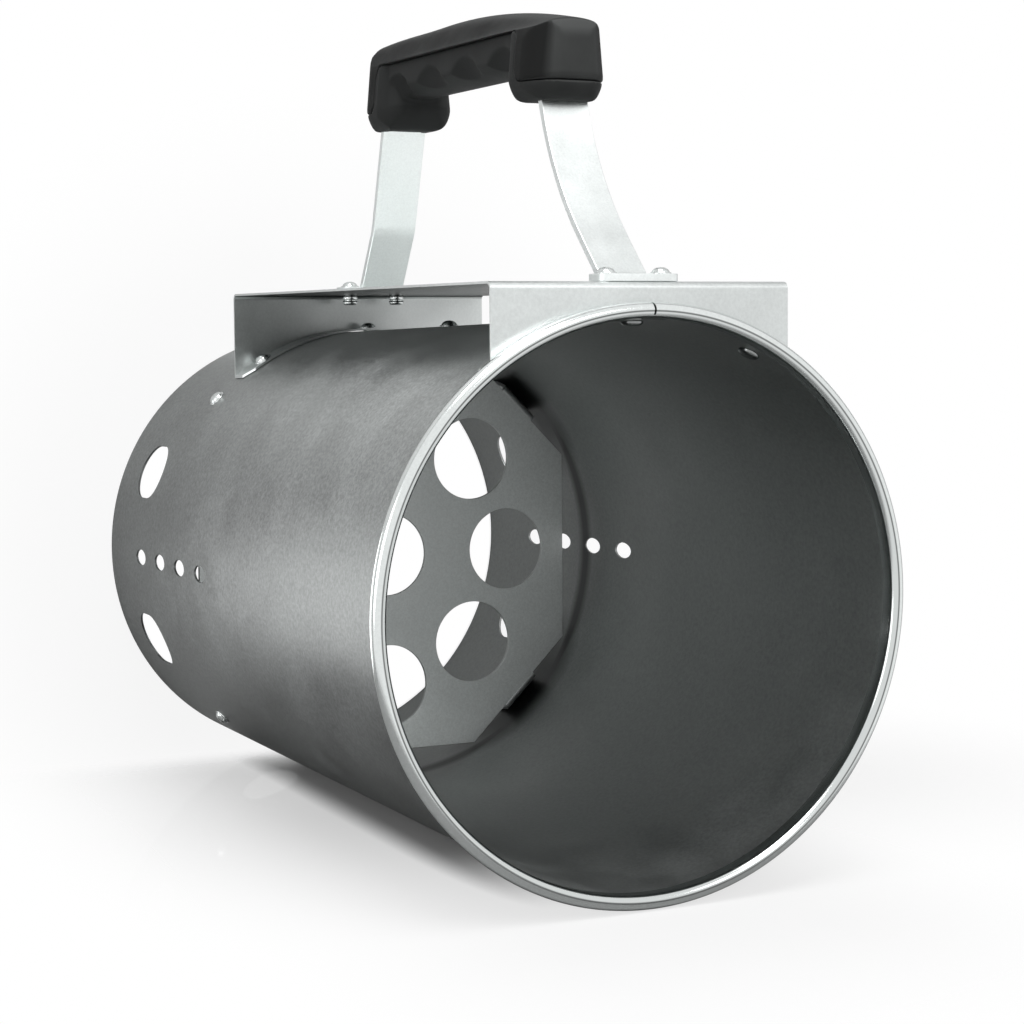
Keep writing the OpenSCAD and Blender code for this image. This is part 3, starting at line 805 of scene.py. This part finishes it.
def strip_line(name, path, thickness, half_width):
    """The line of a strip's first face, with its half width at every point."""
    line = bent_line(path)
    fine = []
    for (a, left_a), (b, left_b) in zip(line, line[1:]):
        steps = max(1, round((b - a).length / STRIP_STEP))
        for k in range(steps):
            t = k / steps
            fine.append((a.lerp(b, t), left_a.lerp(left_b, t).normalized()))
    fine.append(line[-1])
    reach = [0.0]
    for (a, _), (b, _) in zip(fine, fine[1:]):
        reach.append(reach[-1] + (b - a).length)
    kept = [
        i for i, s in enumerate(reach)
        if min(s, reach[-1] - s) < STRIP_END or i % STRIP_KEPT == 0 or i == len(reach) - 1
    ]
    points = [fine[i][0] - fine[i][1] * thickness / 2 for i in kept]
    mesh = bpy.data.meshes.new(name)
    mesh.from_pydata(
        [(point.y, 0, point.x) for point in points], [(i, i + 1) for i in range(len(points) - 1)], []
    )
    width = mesh.attributes.new("half_width", "FLOAT", "POINT")
    for item, i in zip(width.data, kept):
        item.value = half_width(min(reach[i], reach[-1] - reach[i]))
    return mesh


def strip_tree(thickness, finish):
    """Makes a strip of a thickness out of its line."""
    tree = Tree("bent strip", Thickness=thickness, Finish=finish)
    path = tree.node("GeometryNodeMeshToCurve", Mesh=tree.input("Geometry")).outputs[0]
    path = tree.node(
        "GeometryNodeSetCurveNormal", {"mode": "FREE"}, Curve=path, Normal=(0.0, 1.0, 0.0)
    ).outputs[0]
    across = tree.node(
        "GeometryNodeCurvePrimitiveLine", Start=(-1.0, 0.0, 0.0), End=(1.0, 0.0, 0.0)
    ).outputs[0]
    half = tree.attribute("half_width", "FLOAT")
    ribbon = tree.node(
        "GeometryNodeCurveToMesh", Curve=path, Profile_Curve=across, Scale=half
    ).outputs[0]
    tree.finish(made_thick(tree, ribbon, "Thickness"), tree.input("Finish"))
    return tree


def made_thick(tree, sheet, thickness):
    """A closed plate between a sheet and its copy moved along its normals."""
    thick = tree.node(
        "GeometryNodeExtrudeMesh", {"mode": "FACES"}, Mesh=sheet, Individual=False,
        Offset_Scale=tree.input(thickness),
    ).outputs[0]
    under = tree.node("GeometryNodeFlipFaces", Mesh=sheet).outputs[0]
    plate = tree.node("GeometryNodeJoinGeometry", Geometry=[thick, under]).outputs[0]
    return tree.node("GeometryNodeMergeByDistance", Geometry=plate, Distance=0.005 * mm).outputs[0]


# Strap, with its two wide feet

STRAP_W = 17.5 * mm
FOOT_W = 29 * mm
FOOT_LEN = 10.5 * mm
FOOT_CORNER = 3 * mm
FOOT_FLARE = 1.2 * mm
# Mid line as height along the tube, distance from its axis and bend radius, in millimetres
STRAP_PATH = (
    (67.6, 104.85, 0), (80.41, 104.85, 4), (93.54, 127.6, 20), (110.58, 187.05, 7),
    (228.35, 187.05, 7), (244.42, 137.6, 110), (276.04, 104.85, 4), (288.2, 104.85, 0),
)


def strap_half_width(s):
    """Half the strap's width at distance s from its nearer end."""
    if s < FOOT_LEN:
        into = max(FOOT_CORNER - s, s - (FOOT_LEN - FOOT_CORNER), 0)
        return FOOT_W / 2 - FOOT_CORNER + math.sqrt(FOOT_CORNER ** 2 - into ** 2)
    past = min(s - FOOT_LEN, FOOT_FLARE) / FOOT_FLARE
    return STRAP_W / 2 + (FOOT_W / 2 - FOOT_CORNER - STRAP_W / 2) * (1 - past) ** 3


strap = link_piece("handle_strap_bar", strip_line("handle_strap_bar", STRAP_PATH, STRAP_T, strap_half_width))
strip_tree(STRAP_T, strap_finish).apply(strap)
round_edges(strap, width=0.25 * mm)
finished(strap, strap_finish, "strap_steel", "handle_strap")


# Grate: a plate with a ring of holes, and four tabs bent down to the wall

GRATE_T = 1.5 * mm
GRATE_HALF = 78.5 * mm
GRATE_HALF_EDGE = 37.5 * mm
TAB_HALF_W = 9 * mm
# Mid line of a tab, given as that of the strap
TAB_PATH = ((83.25, 81.95, 0), (83.25, 84.02, 2), (72, 86.2, 4), (54, 86.2, 0))


def grate_outline():
    """Edge of the eight-sided plate."""
    a, b = GRATE_HALF, GRATE_HALF_EDGE
    corners = [(a, -b), (a, b), (b, a), (-b, a), (-a, b), (-a, -b), (-b, -a), (b, -a)]
    mesh = bpy.data.meshes.new("grate_plate")
    mesh.from_pydata([(x, y, 0) for x, y in corners], [(i, (i + 1) % 8) for i in range(8)], [])
    return mesh


def grate_tree(tab):
    """Fills the plate's edge, leaves its holes open, makes it thick and adds the tabs."""
    tree = Tree(
        "perforated grate", Hole_count=8, Hole_radius=16.3 * mm, Ring_radius=52.5 * mm,
        Thickness=GRATE_T, Tab=tab, Tab_count=4, Finish=grate_finish,
    )
    edge = tree.node("GeometryNodeMeshToCurve", Mesh=tree.input("Geometry")).outputs[0]
    hole = tree.node(
        "GeometryNodeCurvePrimitiveCircle", Resolution=72, Radius=tree.input("Hole_radius")
    ).outputs[0]
    ring = tree.node(
        "GeometryNodeMeshCircle", Vertices=tree.input("Hole_count"), Radius=tree.input("Ring_radius")
    ).outputs[0]
    middle = tree.node("GeometryNodeMeshLine", Count=1).outputs[0]
    places = tree.node("GeometryNodeJoinGeometry", Geometry=[ring, middle]).outputs[0]
    holes = tree.node("GeometryNodeInstanceOnPoints", Points=places, Instance=hole).outputs[0]
    holes = tree.node("GeometryNodeRealizeInstances", Geometry=holes).outputs[0]
    curves = tree.node("GeometryNodeJoinGeometry", Geometry=[edge, holes]).outputs[0]
    sheet = tree.node("GeometryNodeFillCurve", {"mode": "NGONS"}, Curve=curves).outputs[0]
    plate = tree.node(
        "GeometryNodeTransform", Geometry=made_thick(tree, sheet, "Thickness"),
        Translation=(0.0, 0.0, GRATE_TOP - GRATE_T),
    ).outputs[0]
    strip = tree.node("GeometryNodeObjectInfo", Object=tree.input("Tab")).outputs["Geometry"]
    tabs = tree.ring(strip, tree.input("Tab_count"))
    both = tree.node("GeometryNodeJoinGeometry", Geometry=[plate, tabs]).outputs[0]
    tree.finish(both, tree.input("Finish"))
    return tree


tab = link_piece("grate_tab", strip_line("grate_tab", TAB_PATH, GRATE_T, lambda s: TAB_HALF_W))
strip_tree(GRATE_T, grate_finish).apply(tab)
grate = link_piece("grate_plate", grate_outline())
grate_tree(tab).apply(grate)
bpy.data.objects.remove(tab)
round_edges(grate, width=0.18 * mm)
finished(grate, grate_finish, "grate_sheet", "grate")


# Grip: the two moulded pieces, with softened edges and sides that lean inwards

GRIP_VOXEL = 0.7 * mm
SOFTENING_ROUNDS = 3
GRIP_HALF_W = 17.5 * mm
# Share of the solid's width that the grip has, and how its sides draw in above a height
GRIP_SLIM = 0.875
GRIP_LEAN_X = 172 * mm
GRIP_LEAN = 0.0065 / mm
# Heights of the grip's two ends along the tube, and how far their middles stand out
GRIP_ENDS = (93.65 * mm, 246.1 * mm)
END_BULGE = 2.5 * mm
# Lobes: bottom, length, height that is drawn in, and by how much
LOBE_X = 164.6 * mm
LOBE_LEN = 28 * mm
LOBE_ROUND = 9 * mm
LOBE_TAPER = 0.2
# Arch of the crown across the grip, above the crease, and its fuller rear end
CREASE_X = 188.6 * mm
CROWN_X = 199.8 * mm
CROWN_DROP = 9.5 * mm
REAR_RISE = 6.5 * mm
REAR_RISE_LEN = 55 * mm


def mould(place):
    """Moves a place on the solid's skin to where it is on the moulded grip."""
    side = (place.y / GRIP_HALF_W) ** 2
    rise = max(0.0, place.x - GRIP_LEAN_X)
    above = max(0.0, (place.x - CREASE_X) / (CROWN_X - CREASE_X))
    low = max(0.0, 1 - (place.x - LOBE_X) / LOBE_ROUND) ** 2
    for end, inwards in zip(GRIP_ENDS, (1, -1)):
        near = 1 - inwards * (place.z - end) / LOBE_LEN
        if near > 0:
            place.z += inwards * END_BULGE * side * min(1.0, 2 * near)
            place.z += (end + inwards * LOBE_LEN / 2 - place.z) * LOBE_TAPER * low
    fullness = max(0.0, 1 - (place.z - GRIP_ENDS[0]) / REAR_RISE_LEN) ** 2
    place.x += above * (REAR_RISE * fullness - CROWN_DROP * side)
    place.y *= GRIP_SLIM * (1 - GRIP_LEAN * rise) * (1 - LOBE_TAPER * low)


def moulded_piece(name, node, material, slot):
    """A node's solid with an even skin, soft edges and the moulded form of the grip."""
    piece = link_piece(name, merged_copy(node))
    remesh = piece.modifiers.new("even skin", "REMESH")
    remesh.mode = "VOXEL"
    remesh.voxel_size = GRIP_VOXEL
    soften = piece.modifiers.new("soft edges", "SMOOTH")
    soften.factor = 0.5
    soften.iterations = SOFTENING_ROUNDS
    mesh = evaluated_mesh(piece)
    for vertex in mesh.vertices:
        mould(vertex.co)
    mesh.shade_smooth()
    finished(piece, material, slot, node)


moulded_piece("grip_top", "grip_upper", grip_finish, "grip_plastic")
moulded_piece("grip_finger_piece", "grip_lower", finger_finish, "finger_plastic")


# Camera, floors and light

# Camera fitted to the picture: its place in metres, and where its top and its back point
CAMERA_LENS = 82.56
CAMERA_SENSOR = 36
CAMERA_PLACE = (0.0882382, 0.3706146, 0.9374827)
CAMERA_UP = (0.99701, -0.041823, -0.064974)
CAMERA_BACK = (0.076816, 0.445269, 0.892096)


def photo_camera():
    """Camera turned so that the standing tube lies on its side in the picture."""
    data = bpy.data.cameras.new("camera")
    data.sensor_width = CAMERA_SENSOR
    data.lens = CAMERA_LENS
    camera = link_piece("camera", data)
    up, back = Vector(CAMERA_UP), Vector(CAMERA_BACK)
    turn = Matrix((up.cross(back), up, back)).transposed().to_4x4()
    camera.matrix_world = Matrix.Translation(CAMERA_PLACE) @ turn
    scene.camera = camera


def white_surroundings(diffuse_level):
    """Surroundings that look white, and light rough surfaces with a level of their own."""
    world = bpy.data.worlds.new("white studio")
    scene.world = world
    world.use_nodes = True
    sky = Shading(world.node_tree)
    background = world.node_tree.nodes["Background"]
    white = sky.seen_by("Camera", "Glossy", "Transmission")
    sky.put(background.inputs["Color"], grey(1))
    sky.put(background.inputs["Strength"], sky.range(white, diffuse_level, 1, 0, 1))


class Floor(Shading):
    """Material of a floor that looks white, with shadows only where they are let through."""

    def __init__(self, name):
        self.material = bpy.data.materials.new(name)
        self.material.use_nodes = True
        super().__init__(self.material.node_tree)
        self.tree.nodes.clear()
        self.place = self.object_place()

    def fall(self, value, start, end, high=1.0, low=0.0):
        """Smoothly from high to low, as a value goes from start to end."""
        return self.range(value, high, low, start, end, smooth=True)

    def reach(self, scale, shift=(0, 0, 0)):
        """Length of the place's vector after scaling and moving it."""
        moved = self.node("ShaderNodeMapping", Vector=self.place, Location=shift, Scale=scale)
        return self.length(moved.outputs[0])

    def white(self, shadows, dim, own=0.0):
        """Shines white where it is looked at, but for the share that shows shadows.

        Other rays see a plain surface of the level dim that shines with the level own.
        """
        glow = self.node("ShaderNodeEmission").outputs[0]
        matt = self.node("ShaderNodeBsdfDiffuse", Color=grey(SHADOWED_LEVEL)).outputs[0]
        plain = self.tree.nodes.new("ShaderNodeAddShader")
        self.put(plain.inputs[0], self.node("ShaderNodeBsdfDiffuse", Color=grey(dim)).outputs[0])
        self.put(plain.inputs[1], self.node("ShaderNodeEmission", Strength=own).outputs[0])
        seen = self.seen_by("Camera", "Transmission")
        return self.blend(seen, plain.outputs[0], self.blend(shadows, glow, matt))

    def end(self, shader):
        self.put(self.tree.nodes.new("ShaderNodeOutputMaterial").inputs[0], shader)
        return self.material


def stage_mesh(name, verts, faces, material):
    mesh = bpy.data.meshes.new(name)
    mesh.from_pydata(verts, [], faces)
    mesh.materials.append(material)
    link_piece(name, mesh)


# Level of a floor where it shows shadows
SHADOWED_LEVEL = 0.72
# Standing floor, in metres: rings of its mesh, and the share and the reach of its shadows
FLOOR_TURNS = 96
FLOOR_Z = -0.2 * mm
FLOOR_RADII = (BASE_R - 1.2 * mm, 0.4, 5.0)
STANDING_SHADOW = 0.12
STANDING_SHADOW_R = (0.1, 0.2)


def standing_floor():
    """Floor under the standing tube, dim inside its base except where it is looked at."""
    outer = Floor("standing floor")
    shadows = outer.fall(outer.reach((1, 1, 0)), *STANDING_SHADOW_R, high=STANDING_SHADOW)
    outer_material = outer.end(outer.white(shadows, dim=0.7))
    inner = Floor("floor inside the tube")
    inner_material = inner.end(inner.white(0.0, dim=0.9, own=0.17))
    turns = FLOOR_TURNS
    verts = [
        (r * math.cos(a), r * math.sin(a), FLOOR_Z)
        for r in FLOOR_RADII for a in (2 * math.pi * i / turns for i in range(turns))
    ]
    faces = [
        (k * turns + i, (k + 1) * turns + i, (k + 1) * turns + (i + 1) % turns, k * turns + (i + 1) % turns)
        for k in range(len(FLOOR_RADII) - 1) for i in range(turns)
    ]
    stage_mesh("standing_floor", verts, faces, outer_material)
    stage_mesh("floor_inside_tube", verts[:turns], [tuple(range(turns))], inner_material)


# Lying floor: its slope along the tube and its place at the base edge
LYING_SLOPE = 0.0327
LYING_X = -87.7 * mm
# Sides and ends of its mesh, in metres
LYING_Y = (-0.45, 0.6)
LYING_Z = (0.0005, 0.7)
# Shares of shadow, in contact and wide, and where they fall off aside from the tube and along it
CONTACT_SHADOW = 0.97
CONTACT_ASIDE = (0.029, 0.052)
CONTACT_ALONG = (0.19, 0.3)
CONTACT_AT_RIM = 0.2
WIDE_SHADOW = 0.27
WIDE_ASIDE = (0.04, 0.14)
SHADOW_START = (0.0, 0.05)
SHADOW_END = (0.32, 0.45)
# Faint reflection: its share, and where it falls off
POLISH = 0.26
POLISH_ROUGHNESS = 0.04
POLISH_Y = (0.03, 0.17)
POLISH_Z = (0.12, 0.3)
# The floor fades with the distance from a middle, as shares of a reach, and at the base edge
FADE_REACH = 0.40
FADE_MIDDLE = (0.07, 0.2)
FADE_SHARES = (0.45, 1.0)
FOOT_FADE = (0.0, 0.03)


def lying_floor():
    """Polished floor on which the tube lies for the picture, clear from behind and faded at its edges."""
    floor = Floor("lying floor")
    apart = floor.separate(floor.place)
    aside = floor.reach((0, 1, 0))
    along = apart["Z"]
    contact = floor.product(
        floor.fall(aside, *CONTACT_ASIDE, high=CONTACT_SHADOW),
        floor.fall(along, *CONTACT_ALONG, low=CONTACT_AT_RIM),
    )
    shadows = floor.product(
        floor.most(contact, floor.fall(aside, *WIDE_ASIDE, high=WIDE_SHADOW)),
        floor.fall(along, *SHADOW_START, high=0.0, low=1.0),
        floor.fall(along, *SHADOW_END),
    )
    mirror = floor.node("ShaderNodeBsdfGlossy", Roughness=POLISH_ROUGHNESS).outputs[0]
    polish = floor.product(floor.fall(apart["Y"], *POLISH_Y, high=POLISH), floor.fall(along, *POLISH_Z))
    shader = floor.blend(polish, floor.white(shadows, dim=0.3), mirror)
    scale = 1 / FADE_REACH
    far_off = floor.reach((0, scale, scale), (0, *(-part * scale for part in FADE_MIDDLE)))
    passed = floor.tree.nodes.new("ShaderNodeLightPath").outputs["Transparent Depth"]
    hidden = floor.most(
        floor.fall(far_off, *FADE_SHARES, high=0.0, low=1.0), floor.fall(along, *FOOT_FADE),
        floor.surface("Backfacing"), floor.range(passed, 0, 1, 0, 1),
    )
    clear = floor.node("ShaderNodeBsdfTransparent").outputs[0]
    material = floor.end(floor.blend(hidden, shader, clear))
    (left, right), (near, far) = LYING_Y, LYING_Z
    corners = [(left, near), (right, near), (right, far), (left, far)]
    stage_mesh(
        "lying_floor", [(LYING_X - LYING_SLOPE * z, y, z) for y, z in corners], [(0, 1, 2, 3)], material
    )


# Point of the tube that the large lamps face
LAMP_AIM = (0.03, 0, 0.15)


def softbox(name, place, size, watts, aim=LAMP_AIM, lights_all=True):
    """Round lamp, which may be left out of the light on rough surfaces."""
    data = bpy.data.lights.new(name, "AREA")
    data.shape = "DISK"
    data.size = size
    data.energy = watts
    lamp = link_piece(name, data)
    lamp.location = place
    lamp.rotation_euler = (Vector(aim) - Vector(place)).to_track_quat("-Z", "Y").to_euler()
    lamp.visible_diffuse = lights_all


photo_camera()
white_surroundings(0.6)
standing_floor()
lying_floor()
softbox("overhead softbox", (1.3, 0.25, 0.7), size=0.8, watts=11)
softbox("side softbox", (0.3, 1.4, 0.6), size=0.9, watts=3)
softbox("front softbox", (0.9, -0.3, 1.5), size=0.6, watts=4)
softbox("low strip", (-0.03, 0.30, 0.004), size=0.26, watts=0.35, aim=(-0.03, 0.30, 1.0), lights_all=False)

scene.view_settings.view_transform = "Standard"
